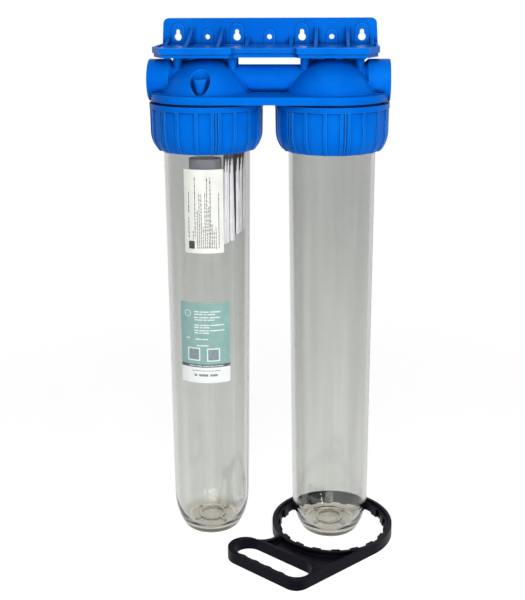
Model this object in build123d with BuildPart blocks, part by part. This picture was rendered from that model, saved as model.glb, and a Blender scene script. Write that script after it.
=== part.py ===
from build123d import *
import math
import os

# Twin water filter housing with clear bowls, wall bracket and bowl wrench.
# Origin: middle wall hole, on the wall face. X runs along the wall, -Y leads away from it, +Z is up.
# Heights are measured from the surface that the bowls stand on.

# Layout
bowl_pitch = 138.0
wall_to_axis = 70.0
hole_height = 565.0
head_shift = 3.2
seat_gap = 0.3
overrun = 10.0
quarter_turn = 90.0

# Clear bowls
bowl_top_r = 47.9
bowl_low_r = 43.4
bowl_wall = 4.0
bowl_bend_height = 39.0
bowl_foot_r = 31.5
bowl_foot_round = 1.6
bowl_floor = 5.4
foot_ring_width = 4.5
foot_recess = 1.4
collar_height = 453.0
collar_thickness = 7.0
collar_r = 54.4
neck_r = 48.4
neck_top = 486.0
seat_ring_r = 16.5
seat_ring_bore_r = 13.0
seat_ring_height = 3.6
floor_ridge_r = 28.6
floor_ridge_width = 1.6
floor_ridge_height = 1.2
seat_lug_count = 4
seat_lug_length = 7.0
seat_lug_width = 2.2
seat_lug_angle = 45.0

# Seal rings between bowl and head
seal_wire_r = 1.95
seal_gap = 0.12

# Ring nuts
nut_bottom = 446.0
nut_top = 497.4
nut_rim_r = 62.5
nut_rim_height = 5.6
nut_rib_top_r = 62.1
nut_rib_bend_r = 61.7
nut_bend_height = 465.5
nut_foot_r = 54.2
nut_panel_depth = 1.5
nut_lip_bore_r = 48.7
nut_bore_r = 56.9
nut_collar_bore_r = 55.0
nut_step_height = 462.5
rib_count = 18
rib_pitch = 360.0 / rib_count
rib_width = 3.2
double_rib_every = 3
double_rib_angle = 3.65
fin_width = 1.2
rib_start = {"left": -73.8, "right": -76.8}

# Screw thread between ring nut and head
thread_pitch = 5.0
thread_length = 18.0
thread_r = 56.5
thread_depth = 1.9
thread_foot_width = 3.2
thread_crest_width = 1.4
thread_sink = 0.4
thread_start_height = 468.5

# Head
flange_bottom = 500.2
flange_thickness = 8.2
flange_r = 60.8
spigot_bore_r = 49.1
dome_r = 52.5
dome_center_height = 492.0
dome_wall = 4.5
dome_base_round = 2.5
flange_edge_round = 0.9
port_edge_round = 1.2
port_height = 521.3
port_reach = 62.5
port_r = 23.0
port_boss_length = 23.5
port_neck_r = 19.0
port_cone_length = 4.5
port_passage_r = 12.5
pipe_r = 17.0
pipe_passage_r = 11.0
core_r = 19.0
core_bore_r = 12.5
core_seat_height = 507.0
inner_pipe_wall = 3.0
post_x = 29.8
post_y = 13.0
post_row_middle = 3.0
post_r = 4.7
post_foot_height = 515.0
rear_web_thickness = 4.0

# Threaded brass port inserts
insert_r = 19.8
insert_length = 20.0
insert_bore_r = 15.15
insert_groove_depth = 0.9
insert_groove_width = 3.0
insert_grip_count = 24
insert_grip_r = 0.8
insert_play = 0.05

# Vent screw in the left dome
vent_x = 1.2
vent_y = 41.0
vent_pocket_r = 10.9
vent_pocket_low_r = 8.6
vent_floor = 505.8
vent_cone_top = 521.0
vent_wall = 3.2
vent_boss_bottom = 496.0
vent_knob_r = 6.8
vent_knob_low_r = 4.75
vent_knob_bottom = 508.1
vent_knob_height = 17.0
vent_slot_width = 1.6
vent_slot_depth = 2.0
vent_flute_count = 12
vent_flute_r = 0.6
vent_shank_r = 3.0
vent_shank_length = 9.0
vent_shank_clearance = 0.08
vent_ring_wire_r = 0.75
vent_bleed_r = 1.2

# Wall bracket
plate_thickness = 5.0
plate_rise = 21.5
plate_bottom = 546.0
plate_top_half_width = 122.3
plate_low_half_width = 124.2
plate_corner_r = 6.5
plate_foot_cut_width = 12.0
plate_foot_cut_height = 4.3
shelf_bottom = 551.6
shelf_thickness = 4.5
shelf_half_width = 122.8
shelf_front = 109.5
shelf_side_front = 82.0
shelf_front_half_width = 110.8
shelf_bay_front = 100.5
shelf_bay_half_width = 31.0
shelf_bay_corner_half_width = 35.0
rim_thickness = 3.2
rim_height = 1.9
bay_rim_height = 0.8
bay_lift = 0.9
bay_edge_reach = 6.0
skirt_inset = 1.8
skirt_thickness = 2.6
skirt_depth = 4.2
shelf_boss_places = (-104.0, -78.0, 60.0, 79.0, 104.0)
shelf_boss_y = 98.0
shelf_boss_r = 3.8
shelf_boss_depth = 5.8
gusset_thickness = 3.4
gusset_places = (53.8, 89.5)
gusset_rise = 11.5
gusset_reach = 104.0
gusset_sag_share = 0.42
gusset_sag_height = 5.0
small_gusset_places = (25.0, 117.3)
small_gusset_rise = 0.3
small_gusset_reach = 24.0
wall_hole_spacing = 71.4
wall_hole_r = 2.9
keyhole_places = (37.4, 105.7)
keyhole_r = 4.3
keyhole_slot_width = 4.85
keyhole_slot_rise = 8.7
pad_height = 1.6
pad_half_width = 7.2
pad_rise = 7.8
round_pad_r = 5.9
round_pad_rise = 2.5

# Screws that hold the bracket on the head
screw_r = 1.6
screw_play = 0.05
screw_length = 17.0
screw_head_r = 3.6
screw_head_height = 2.2
screw_seat_depth = 2.2
screw_seat_r = 4.0
screw_slot_half_length = 3.4
screw_slot_r = 2.1
screw_cross_width = 1.0
screw_cross_length = 4.4
screw_cross_depth = 1.4

# Bowl label
label_top = 281.0
label_bottom = 188.4
label_half_angle = 36.4
label_thickness = 0.2
label_gap = 0.05

# Folded leaflet inside the left bowl
leaflet_top = 429.0
leaflet_bottom = 336.5
leaflet_start_angle = -28.0
leaflet_end_angle = 29.6
leaflet_thickness = 0.3
leaflet_gap = 0.35
pages_top = 445.0
pages_bottom = 346.0
pages_fold_count = 8
pages_start_angle = 32.4
pages_step_angle = 6.2
pages_depth = 9.0
pages_thickness = 0.5
roll_top = 439.5
roll_bottom = 340.0
roll_x = 1.0
roll_r = 13.2
roll_half_width = 18.0
roll_turns = 2
roll_turn_pitch = 1.2
roll_thickness = 0.5
roll_points_per_turn = 12

# Bowl wrench: u runs from the ring to the grip, v across it
wrench_height = 12.2
wrench_x = 3.0
wrench_y = 15.2
wrench_angle = -126.0
wrench_r = 69.0
wrench_root_r = 62.0
wrench_tooth_r = 59.5
tooth_width = 9.5
arm_corner_v = 46.8
grip_front = 126.2
grip_corner_r = 16.0
grip_end_r = 19.3
grip_end_v = 40.4
grip_slot_near = 88.8
grip_slot_far = 121.4
grip_slot_length = 99.0
grip_slot_offset = -3.4
grip_bump_r = 11.0
grip_bump_rise = 1.1
grip_bump_pitch = 17.5
grip_bump_count = 4
neck_grip_u = 88.0
neck_middle_u = 76.0
neck_middle_v = 29.0
neck_ring_u = 62.0
neck_ring_v = 28.5
web_floor = 7.0
web_rim = 3.6
tooth_drop = 2.4
ring_edge = 3.6

# Places worked out from the sizes above
axis_y = -wall_to_axis
left_x = head_shift - bowl_pitch / 2
right_x = head_shift + bowl_pitch / 2
sides = {"left": left_x, "right": right_x}
flange_top = flange_bottom + flange_thickness
spigot_end = collar_height + collar_thickness + 2 * (seal_wire_r + seal_gap) + seal_gap
shelf_top = shelf_bottom + shelf_thickness
rim_top = shelf_top + rim_height
screw_seat_height = shelf_top - screw_seat_depth
plate_top = hole_height + plate_rise
gusset_top = hole_height + gusset_rise
small_gusset_top = hole_height + small_gusset_rise
port_half_span = bowl_pitch / 2 + port_reach
post_middle_y = axis_y + post_row_middle
vent_axis_x = left_x - vent_x
vent_axis_y = axis_y - vent_y


def level(height):
    """Z of a height above the surface that the bowls stand on."""
    return height - hole_height


def section_plane(x):
    """Upright plane through a bowl axis: local x is the radius, local y the height."""
    return Plane(origin=(x, axis_y, level(0)), x_dir=(1, 0, 0), z_dir=(0, -1, 0))


def level_plane(height, x=0, y=0):
    """Horizontal plane at a height, with its origin at x, y."""
    return Plane(origin=(x, y, level(height)))


def upright_axis(x, y=axis_y):
    """Vertical axis through x, y."""
    return Axis((x, y, 0), (0, 0, 1))


def thread_ridge(x, foot_r, crest_r):
    """Helical ridge round a bowl axis, from its foot radius to its crest radius."""
    inward = 1 if crest_r > foot_r else -1
    sunk_r = foot_r - inward * thread_sink
    reach = abs(crest_r - sunk_r)
    lead = 0 if inward > 0 else thread_pitch / 2
    with BuildPart() as ridge:
        with BuildLine():
            path = Helix(thread_pitch, thread_length, sunk_r)
        with BuildSketch(Plane(origin=path @ 0, x_dir=(inward, 0, 0), z_dir=path % 0)):
            with BuildLine():
                Polyline((0, -thread_foot_width / 2), (reach, -thread_crest_width / 2),
                         (reach, thread_crest_width / 2), (0, thread_foot_width / 2), close=True)
            make_face()
        sweep(path=path, is_frenet=True)
    return ridge.part.moved(Location((x, axis_y, level(thread_start_height + lead))))


def save(part, name):
    """Label one finished piece and write it."""
    part.label = name
    export_step(part, f"parts/{name}.step")
    print(f"{name}: {len(part.solids())} solid, {part.volume / 1000:.2f} cm3")


os.makedirs("parts", exist_ok=True)

# Clear bowls
for side, x in sides.items():
    with BuildPart() as bowl:
        for inset, floor, mode in ((0, 0, Mode.ADD), (bowl_wall, bowl_floor, Mode.SUBTRACT)):
            with BuildSketch(section_plane(x)):
                with BuildLine():
                    cap = Line((0, neck_top), (bowl_top_r - inset, neck_top))
                    drop = Line(cap @ 1, (bowl_top_r - inset, collar_height))
                    wall = Line(drop @ 1, (bowl_low_r - inset, bowl_bend_height))
                    heel = (bowl_foot_r + bowl_foot_round - inset, floor + bowl_foot_round)
                    bend = TangentArc(wall @ 1, heel, tangent=wall % 1)
                    foot = Line(bend @ 1, (bowl_foot_r - inset, floor))
                    base = Line(foot @ 1, (0, floor))
                    Line(base @ 1, cap @ 0)
                make_face()
            revolve(axis=upright_axis(x), mode=mode)
        with BuildSketch(level_plane(collar_height, x, axis_y)):
            Circle(collar_r)
            Circle(bowl_top_r - bowl_wall / 2, mode=Mode.SUBTRACT)
        extrude(amount=collar_thickness)
        with BuildSketch(level_plane(collar_height, x, axis_y)):
            Circle(neck_r)
            Circle(bowl_top_r - bowl_wall / 2, mode=Mode.SUBTRACT)
        extrude(amount=neck_top - collar_height)
        with BuildSketch(level_plane(bowl_floor, x, axis_y)):
            Circle(seat_ring_r)
            Circle(seat_ring_bore_r, mode=Mode.SUBTRACT)
            with PolarLocations(seat_ring_r + seat_lug_length / 2, seat_lug_count, start_angle=seat_lug_angle):
                Rectangle(seat_lug_length + seat_ring_r - seat_ring_bore_r, seat_lug_width)
        extrude(amount=seat_ring_height)
        with BuildSketch(level_plane(bowl_floor, x, axis_y)):
            Circle(floor_ridge_r)
            Circle(floor_ridge_r - floor_ridge_width, mode=Mode.SUBTRACT)
        extrude(amount=floor_ridge_height)
        with BuildSketch(level_plane(0, x, axis_y)):
            Circle(bowl_foot_r - foot_ring_width)
        extrude(amount=foot_recess, mode=Mode.SUBTRACT)
    save(bowl.part, f"{side}_bowl")

    # Seal ring on the collar, round the neck
    seal_center_r = neck_r + seal_gap + seal_wire_r
    with BuildPart() as seal:
        with BuildSketch(section_plane(x)):
            with Locations((seal_center_r, collar_height + collar_thickness + seal_gap + seal_wire_r)):
                Circle(seal_wire_r)
        revolve(axis=upright_axis(x))
    save(seal.part, f"{side}_bowl_o_ring")

# Ring nuts
for side, x in sides.items():
    rim_bottom = nut_top - nut_rim_height
    with BuildPart() as rib_space:
        with BuildSketch(section_plane(x)):
            with BuildLine():
                side_line = Line((nut_rib_top_r, rim_bottom + nut_panel_depth), (nut_rib_bend_r, nut_bend_height))
                curve = TangentArc(side_line @ 1, (nut_foot_r, nut_bottom), tangent=side_line % 1)
                under = Line(curve @ 1, (nut_lip_bore_r, nut_bottom))
                inner = Line(under @ 1, (nut_lip_bore_r, rim_bottom + nut_panel_depth))
                Line(inner @ 1, side_line @ 0)
            make_face()
        revolve(axis=upright_axis(x))
    with BuildPart() as ribs:
        with BuildSketch(level_plane(nut_bottom, x, axis_y)):
            rib_reach = nut_rim_r - nut_lip_bore_r
            for index in range(rib_count):
                angle = rib_start[side] + index * rib_pitch
                turns = (0,) if index % double_rib_every else (-double_rib_angle, double_rib_angle)
                for turn in turns:
                    with PolarLocations(nut_lip_bore_r + rib_reach / 2, 1, start_angle=angle + turn):
                        Rectangle(rib_reach, rib_width)
        extrude(amount=rim_bottom - nut_bottom + nut_panel_depth / 2)
        with BuildSketch(level_plane(nut_bottom, x, axis_y)):
            fin_count = rib_count // double_rib_every
            with PolarLocations(nut_lip_bore_r + rib_reach / 2, fin_count, start_angle=rib_start[side]):
                Rectangle(rib_reach, fin_width)
        extrude(amount=rim_bottom - nut_bottom + nut_panel_depth / 2)
        add(rib_space.part, mode=Mode.INTERSECT)
    with BuildPart() as ring_nut:
        with BuildSketch(section_plane(x)):
            with BuildLine():
                side_line = Line((nut_rib_top_r - nut_panel_depth, rim_bottom),
                                 (nut_rib_bend_r - nut_panel_depth, nut_bend_height))
                curve = TangentArc(side_line @ 1, (nut_foot_r - nut_panel_depth, nut_bottom),
                                   tangent=side_line % 1)
                under = Line(curve @ 1, (0, nut_bottom))
                inner = Line(under @ 1, (0, nut_top))
                top = Line(inner @ 1, (nut_rim_r, nut_top))
                edge = Line(top @ 1, (nut_rim_r, rim_bottom))
                Line(edge @ 1, side_line @ 0)
            make_face()
        revolve(axis=upright_axis(x))
        add(ribs.part)
        with BuildSketch(level_plane(nut_bottom, x, axis_y)):
            Circle(nut_lip_bore_r)
        extrude(amount=nut_top - nut_bottom, mode=Mode.SUBTRACT)
        with BuildSketch(level_plane(collar_height - seat_gap, x, axis_y)):
            Circle(nut_collar_bore_r)
        extrude(amount=nut_top - collar_height + seat_gap, mode=Mode.SUBTRACT)
        with BuildSketch(level_plane(nut_step_height, x, axis_y)):
            Circle(nut_bore_r)
        extrude(amount=nut_top - nut_step_height, mode=Mode.SUBTRACT)
        add(thread_ridge(x, nut_bore_r, nut_bore_r - thread_depth))
    save(ring_nut.part, f"{side}_ring_nut")


def dome_body(x, radius):
    """Ball cap above the flange's lower face, centred on a bowl axis."""
    start_angle = math.degrees(math.asin((flange_bottom - dome_center_height) / radius))
    with BuildPart() as body:
        with BuildSketch(section_plane(x)):
            with BuildLine():
                arch = CenterArc((0, dome_center_height), radius, start_angle, quarter_turn - start_angle)
                Polyline(arch @ 1, (0, flange_bottom), arch @ 0)
            make_face()
        revolve(axis=upright_axis(x))
    return body.part


def dome_space(x, pipe_side, pipe_bore_r, with_vent):
    """Water space of one head half; the inner pipe leads from the core towards pipe_side."""
    with BuildPart() as space:
        add(dome_body(x, dome_r - dome_wall))
        with BuildSketch(level_plane(core_seat_height, x, axis_y)):
            Circle(core_r)
        extrude(amount=dome_r, mode=Mode.SUBTRACT)
        pipe_plane = Plane(origin=(x, axis_y, level(port_height)), x_dir=(0, pipe_side, 0),
                           z_dir=(pipe_side, 0, 0))
        with BuildSketch(pipe_plane):
            Circle(pipe_bore_r + inner_pipe_wall)
        extrude(amount=dome_r, mode=Mode.SUBTRACT)
        if with_vent:
            with BuildSketch(level_plane(vent_boss_bottom, vent_axis_x, vent_axis_y)):
                Circle(vent_pocket_r + vent_wall)
            extrude(amount=dome_r, mode=Mode.SUBTRACT)
    return space.part


left_space = dome_space(left_x, 1, pipe_passage_r, True)
right_space = dome_space(right_x, 1, port_passage_r, False)

# Head: flange, domes, ports, middle pipe, screw posts and threaded spigots in one moulding
with BuildPart() as head:
    with BuildSketch(level_plane(flange_bottom, head_shift, axis_y)):
        SlotCenterToCenter(bowl_pitch, 2 * flange_r)
    extrude(amount=flange_thickness)
    fillet(head.edges().group_by(Axis.Z)[-1], flange_edge_round)
    for x in sides.values():
        add(dome_body(x, dome_r))
    small_circles = head.edges().filter_by(GeomType.CIRCLE).filter_by(lambda edge: edge.radius < dome_r)
    fillet(small_circles.group_by(Axis.Z)[-1], dome_base_round)
    for x in sides.values():
        with BuildSketch(level_plane(spigot_end, x, axis_y)):
            Circle(thread_r - thread_depth)
            Circle(spigot_bore_r, mode=Mode.SUBTRACT)
        extrude(amount=flange_bottom - spigot_end)
        add(thread_ridge(x, thread_r - thread_depth, thread_r))
        with BuildSketch(level_plane(post_foot_height, x, post_middle_y)):
            with GridLocations(2 * post_x, 2 * post_y, 2, 2):
                Circle(post_r)
        extrude(amount=shelf_bottom - post_foot_height)
        with BuildSketch(level_plane(post_foot_height, x, post_middle_y + post_y)):
            Rectangle(2 * post_x, rear_web_thickness)
        extrude(amount=shelf_bottom - post_foot_height)
    for end in (-1, 1):
        boss_plane = Plane(origin=(head_shift, axis_y, level(port_height)), x_dir=(0, end, 0), z_dir=(end, 0, 0))
        cone_start = port_half_span - port_boss_length - port_cone_length
        with BuildSketch(boss_plane.offset(bowl_pitch / 2)):
            Circle(port_neck_r)
        extrude(amount=cone_start - bowl_pitch / 2)
        with BuildSketch(boss_plane.offset(cone_start)):
            Circle(port_neck_r)
        with BuildSketch(boss_plane.offset(port_half_span - port_boss_length)):
            Circle(port_r)
        loft()
        with BuildSketch(boss_plane.offset(port_half_span - port_boss_length)):
            Circle(port_r)
        extrude(amount=port_boss_length)
    port_rims = head.edges().filter_by(GeomType.CIRCLE).group_by(Axis.X)
    fillet(port_rims[0] + port_rims[-1], port_edge_round)
    with BuildSketch(Plane(origin=(left_x, axis_y, level(port_height)), x_dir=(0, 1, 0), z_dir=(1, 0, 0))):
        Circle(pipe_r)
    extrude(amount=bowl_pitch)
    add(left_space, mode=Mode.SUBTRACT)
    add(right_space, mode=Mode.SUBTRACT)
    # Core tubes, open at the cartridge seat
    for x in sides.values():
        with BuildSketch(level_plane(flange_bottom, x, axis_y)):
            Circle(core_bore_r)
        extrude(amount=port_height - flange_bottom, mode=Mode.SUBTRACT)
    # Middle pipe from the left core to the right water space
    with BuildSketch(Plane(origin=(left_x, axis_y, level(port_height)), x_dir=(0, 1, 0), z_dir=(1, 0, 0))):
        Circle(pipe_passage_r)
    extrude(amount=bowl_pitch - core_r - inner_pipe_wall, mode=Mode.SUBTRACT)
    # Port passages and insert pockets
    port_starts = ((-1, bowl_pitch / 2 + core_r + inner_pipe_wall), (1, bowl_pitch / 2))
    for end, start in port_starts:
        port_plane = Plane(origin=(head_shift, axis_y, level(port_height)), x_dir=(0, end, 0), z_dir=(end, 0, 0))
        with BuildSketch(port_plane.offset(start)):
            Circle(port_passage_r)
        extrude(amount=port_half_span - start, mode=Mode.SUBTRACT)
        with BuildSketch(port_plane.offset(port_half_span - insert_length)):
            Circle(insert_r + insert_play)
        extrude(amount=insert_length, mode=Mode.SUBTRACT)
    # Pilot holes for the bracket screws
    for x in sides.values():
        with BuildSketch(level_plane(shelf_bottom, x, post_middle_y)):
            with GridLocations(2 * post_x, 2 * post_y, 2, 2):
                Circle(screw_r + screw_play)
        extrude(amount=screw_seat_height - screw_length - screw_play - shelf_bottom, mode=Mode.SUBTRACT)
    # Vent boss, pocket and screw hole
    with BuildSketch(level_plane(vent_boss_bottom, vent_axis_x, vent_axis_y)):
        Circle(vent_pocket_r + vent_wall)
    extrude(amount=flange_bottom - vent_boss_bottom)
    with BuildSketch(level_plane(vent_floor, vent_axis_x, vent_axis_y)):
        Circle(vent_pocket_low_r)
    with BuildSketch(level_plane(vent_cone_top, vent_axis_x, vent_axis_y)):
        Circle(vent_pocket_r)
    loft(mode=Mode.SUBTRACT)
    with BuildSketch(level_plane(vent_cone_top, vent_axis_x, vent_axis_y)):
        Circle(vent_pocket_r)
    extrude(amount=dome_r, mode=Mode.SUBTRACT)
    with BuildSketch(level_plane(vent_floor, vent_axis_x, vent_axis_y)):
        Circle(vent_shank_r + vent_shank_clearance)
    extrude(amount=-(vent_shank_length + vent_floor - vent_knob_bottom), mode=Mode.SUBTRACT)
    with BuildSketch(level_plane(vent_floor, vent_axis_x, vent_axis_y)):
        Circle(vent_bleed_r)
    extrude(amount=-(vent_floor - vent_boss_bottom + overrun), mode=Mode.SUBTRACT)
save(head.part, "twin_head")

# Brass inserts with the pipe thread
for side, end in (("inlet", -1), ("outlet", 1)):
    port_plane = Plane(origin=(head_shift, axis_y, level(port_height)), x_dir=(0, end, 0), z_dir=(end, 0, 0))
    with BuildPart() as insert:
        with BuildSketch(port_plane.offset(port_half_span - insert_length)):
            Circle(insert_r)
            Circle(insert_bore_r, mode=Mode.SUBTRACT)
            with PolarLocations(insert_r, insert_grip_count):
                Circle(insert_grip_r, mode=Mode.SUBTRACT)
        extrude(amount=insert_length)
        with BuildSketch(port_plane.offset(port_half_span - (insert_length + insert_groove_width) / 2)):
            Circle(insert_r + overrun)
            Circle(insert_r - insert_groove_depth, mode=Mode.SUBTRACT)
        extrude(amount=insert_groove_width, mode=Mode.SUBTRACT)
    save(insert.part, f"{side}_thread_insert")

# Vent screw and its seal
with BuildPart() as vent_screw:
    with BuildSketch(level_plane(vent_knob_bottom, vent_axis_x, vent_axis_y)):
        Circle(vent_knob_low_r)
    with BuildSketch(level_plane(vent_knob_bottom + vent_knob_height, vent_axis_x, vent_axis_y)):
        Circle(vent_knob_r)
    loft()
    with BuildSketch(level_plane(vent_knob_bottom + vent_knob_height, vent_axis_x, vent_axis_y)):
        with PolarLocations(vent_knob_r, vent_flute_count):
            Circle(vent_flute_r)
    extrude(amount=-vent_knob_height / 2, mode=Mode.SUBTRACT)
    with BuildSketch(level_plane(vent_knob_bottom + vent_knob_height, vent_axis_x, vent_axis_y)):
        Rectangle(2 * vent_knob_r + vent_slot_width, vent_slot_width)
    extrude(amount=-vent_slot_depth, mode=Mode.SUBTRACT)
    with BuildSketch(level_plane(vent_knob_bottom, vent_axis_x, vent_axis_y)):
        Circle(vent_shank_r)
    extrude(amount=-vent_shank_length)
save(vent_screw.part, "vent_screw")

vent_ring_height = vent_floor + seal_gap + vent_ring_wire_r
with BuildPart() as vent_ring:
    with BuildSketch(Plane(origin=(vent_axis_x, vent_axis_y, level(0)), x_dir=(1, 0, 0), z_dir=(0, -1, 0))):
        with Locations((vent_shank_r + seal_gap + vent_ring_wire_r, vent_ring_height)):
            Circle(vent_ring_wire_r)
    revolve(axis=upright_axis(vent_axis_x, vent_axis_y))
save(vent_ring.part, "vent_o_ring")

# Wall bracket
wall_plane = Plane(origin=(0, 0, level(0)), x_dir=(1, 0, 0), z_dir=(0, -1, 0))
with BuildPart() as bracket:
    with BuildSketch(wall_plane):
        with BuildLine():
            foot_half = plate_low_half_width - plate_foot_cut_width
            foot_top = plate_bottom + plate_foot_cut_height
            Polyline((-foot_half, plate_bottom), (foot_half, plate_bottom), (plate_low_half_width, foot_top),
                     (plate_top_half_width, plate_top), (-plate_top_half_width, plate_top),
                     (-plate_low_half_width, foot_top), close=True)
        plate_face = make_face()
        fillet(plate_face.vertices().group_by(Axis.Y)[-1], plate_corner_r)
    extrude(amount=plate_thickness)
    # Shelf with a raised rim and small bosses underneath
    def shelf_outline(inset):
        """Shelf's plan, drawn in by the given amount."""
        half = ((shelf_half_width - inset, 0),
                (shelf_half_width - inset, -shelf_side_front),
                (shelf_front_half_width - inset, -shelf_front + inset),
                (shelf_bay_corner_half_width + inset, -shelf_front + inset),
                (shelf_bay_half_width + inset, -shelf_bay_front + inset))
        return [*half, *((-px, py) for px, py in reversed(half))]

    with BuildSketch(level_plane(shelf_bottom)):
        with BuildLine():
            Polyline(*shelf_outline(0), close=True)
        make_face()
    extrude(amount=rim_top - shelf_bottom)
    with BuildSketch(level_plane(shelf_top)):
        with BuildLine():
            Polyline(*shelf_outline(rim_thickness), close=True)
        make_face()
        with Locations((0, -plate_thickness / 2)):
            Rectangle(2 * shelf_half_width, plate_thickness, mode=Mode.SUBTRACT)
    extrude(amount=rim_height, mode=Mode.SUBTRACT)
    with BuildSketch(level_plane(shelf_top + bay_rim_height)):
        with Locations((0, -shelf_bay_front)):
            Rectangle(2 * shelf_bay_half_width, 2 * bay_edge_reach)
    extrude(amount=rim_height, mode=Mode.SUBTRACT)
    with BuildSketch(level_plane(shelf_bottom)):
        with Locations((0, -shelf_bay_front)):
            Rectangle(2 * shelf_bay_half_width, 2 * bay_edge_reach)
    extrude(amount=bay_lift, mode=Mode.SUBTRACT)
    with BuildSketch(level_plane(shelf_bottom)):
        with Locations(*((place, -shelf_boss_y) for place in shelf_boss_places)):
            Circle(shelf_boss_r)
    extrude(amount=-shelf_boss_depth)
    # Skirt under the shelf, set back from its edge
    with BuildSketch(level_plane(shelf_top)):
        with BuildLine():
            Polyline(*shelf_outline(skirt_inset), close=True)
        make_face()
        with BuildLine():
            Polyline(*shelf_outline(skirt_inset + skirt_thickness), close=True)
        make_face(mode=Mode.SUBTRACT)
    extrude(amount=-(shelf_thickness + skirt_depth))
    # Gussets
    for place in gusset_places:
        for turn in (-1, 1):
            gusset_plane = Plane(origin=(turn * place - gusset_thickness / 2, 0, level(0)),
                                 x_dir=(0, 1, 0), z_dir=(1, 0, 0))
            with BuildSketch(gusset_plane):
                with BuildLine():
                    sag = (-gusset_reach * gusset_sag_share, shelf_top + gusset_sag_height)
                    ThreePointArc((-plate_thickness, gusset_top), sag, (-gusset_reach, shelf_top))
                    Polyline((-gusset_reach, shelf_top), (-gusset_reach, shelf_bottom),
                             (0, shelf_bottom), (0, gusset_top), (-plate_thickness, gusset_top))
                make_face()
            extrude(amount=gusset_thickness)
    for place in small_gusset_places:
        for turn in (-1, 1):
            gusset_plane = Plane(origin=(turn * place - gusset_thickness / 2, 0, level(0)),
                                 x_dir=(0, 1, 0), z_dir=(1, 0, 0))
            with BuildSketch(gusset_plane):
                with BuildLine():
                    Polyline((0, shelf_bottom), (0, small_gusset_top), (-plate_thickness, small_gusset_top),
                             (-small_gusset_reach, shelf_top), (-small_gusset_reach, shelf_bottom), close=True)
                make_face()
            extrude(amount=gusset_thickness)
    # Raised arches round the wall holes
    pads = [(turn * place, pad_half_width, pad_rise) for place in keyhole_places for turn in (-1, 1)]
    pads += [(turn * wall_hole_spacing, round_pad_r, round_pad_rise) for turn in (-1, 0, 1)]
    with BuildSketch(wall_plane.offset(plate_thickness)):
        for pad_x, half_width, rise in pads:
            arch_height = hole_height + rise
            with Locations((pad_x, arch_height)):
                Circle(half_width)
            with Locations((pad_x, (arch_height + shelf_top) / 2)):
                Rectangle(2 * half_width, arch_height - shelf_top)
    extrude(amount=pad_height)
    # Keyholes and round holes
    with BuildSketch(wall_plane):
        for place in keyhole_places:
            for turn in (-1, 1):
                with Locations((turn * place, hole_height)):
                    Circle(keyhole_r)
                slot_rise = keyhole_slot_rise - keyhole_slot_width / 2
                with Locations((turn * place, hole_height + slot_rise / 2)):
                    Rectangle(keyhole_slot_width, slot_rise)
                with Locations((turn * place, hole_height + slot_rise)):
                    Circle(keyhole_slot_width / 2)
        for turn in (-1, 0, 1):
            with Locations((turn * wall_hole_spacing, hole_height)):
                Circle(wall_hole_r)
    extrude(amount=plate_thickness + pad_height + overrun, mode=Mode.SUBTRACT)
    # Slots and sunk seats for the screws into the head
    for turn in (-1, 1):
        for height, slot_r in ((shelf_bottom, screw_slot_r), (screw_seat_height, screw_seat_r)):
            with BuildSketch(level_plane(height, turn * bowl_pitch / 2, post_middle_y)):
                with GridLocations(2 * post_x, 2 * post_y, 2, 2):
                    SlotCenterToCenter(2 * screw_slot_half_length, 2 * slot_r)
            extrude(amount=shelf_top - height, mode=Mode.SUBTRACT)
save(bracket.part, "wall_bracket")

# Bracket screws
with BuildPart() as screws:
    for x in sides.values():
        with BuildSketch(level_plane(screw_seat_height, x, post_middle_y)):
            with GridLocations(2 * post_x, 2 * post_y, 2, 2):
                Circle(screw_head_r)
        extrude(amount=screw_head_height)
        with BuildSketch(level_plane(screw_seat_height, x, post_middle_y)):
            with GridLocations(2 * post_x, 2 * post_y, 2, 2):
                Circle(screw_r)
        extrude(amount=-screw_length)
        with BuildSketch(level_plane(screw_seat_height + screw_head_height, x, post_middle_y)):
            with GridLocations(2 * post_x, 2 * post_y, 2, 2):
                Rectangle(screw_cross_length, screw_cross_width)
                Rectangle(screw_cross_width, screw_cross_length)
        extrude(amount=-screw_cross_depth, mode=Mode.SUBTRACT)
save(screws.part, "bracket_screws")


def bowl_outer_r(height):
    """Outer radius of the tapered bowl wall at a height."""
    share = (height - bowl_bend_height) / (collar_height - bowl_bend_height)
    return bowl_low_r + (bowl_top_r - bowl_low_r) * share


def wall_sheet(x, bottom, top, offset, thickness, start, end):
    """Thin sheet that follows the bowl wall between two angles, measured from straight ahead."""
    with BuildPart() as sheet:
        with BuildSketch(section_plane(x)):
            with BuildLine():
                Polyline((bowl_outer_r(bottom) + offset, bottom), (bowl_outer_r(top) + offset, top),
                         (bowl_outer_r(top) + offset + thickness, top),
                         (bowl_outer_r(bottom) + offset + thickness, bottom), close=True)
            make_face()
        revolve(axis=upright_axis(x), revolution_arc=end - start)
    return sheet.part.rotate(upright_axis(x), start - quarter_turn)


label = wall_sheet(left_x, label_bottom, label_top, label_gap, label_thickness, -label_half_angle, label_half_angle)
save(label, "bowl_label")

leaflet_offset = -(bowl_wall + leaflet_gap + leaflet_thickness)
leaflet = wall_sheet(left_x, leaflet_bottom, leaflet_top, leaflet_offset, leaflet_thickness,
                     leaflet_start_angle, leaflet_end_angle)
save(leaflet, "leaflet_sheet")

# Folded pages beside the sheet, one zigzag strip
with BuildPart() as pages:
    page_r = bowl_outer_r(pages_bottom) - bowl_wall - leaflet_gap - pages_thickness
    with BuildSketch(level_plane(pages_bottom, left_x, axis_y)):
        with BuildLine():
            folds = []
            for index in range(pages_fold_count):
                fold_angle = math.radians(pages_start_angle + index * pages_step_angle - quarter_turn)
                fold_r = page_r - pages_depth * (index % 2)
                folds.append((fold_r * math.cos(fold_angle), fold_r * math.sin(fold_angle)))
            Polyline(*folds)
        trace(line_width=pages_thickness)
    extrude(amount=pages_top - pages_bottom)
save(pages.part, "leaflet_pages")

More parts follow.
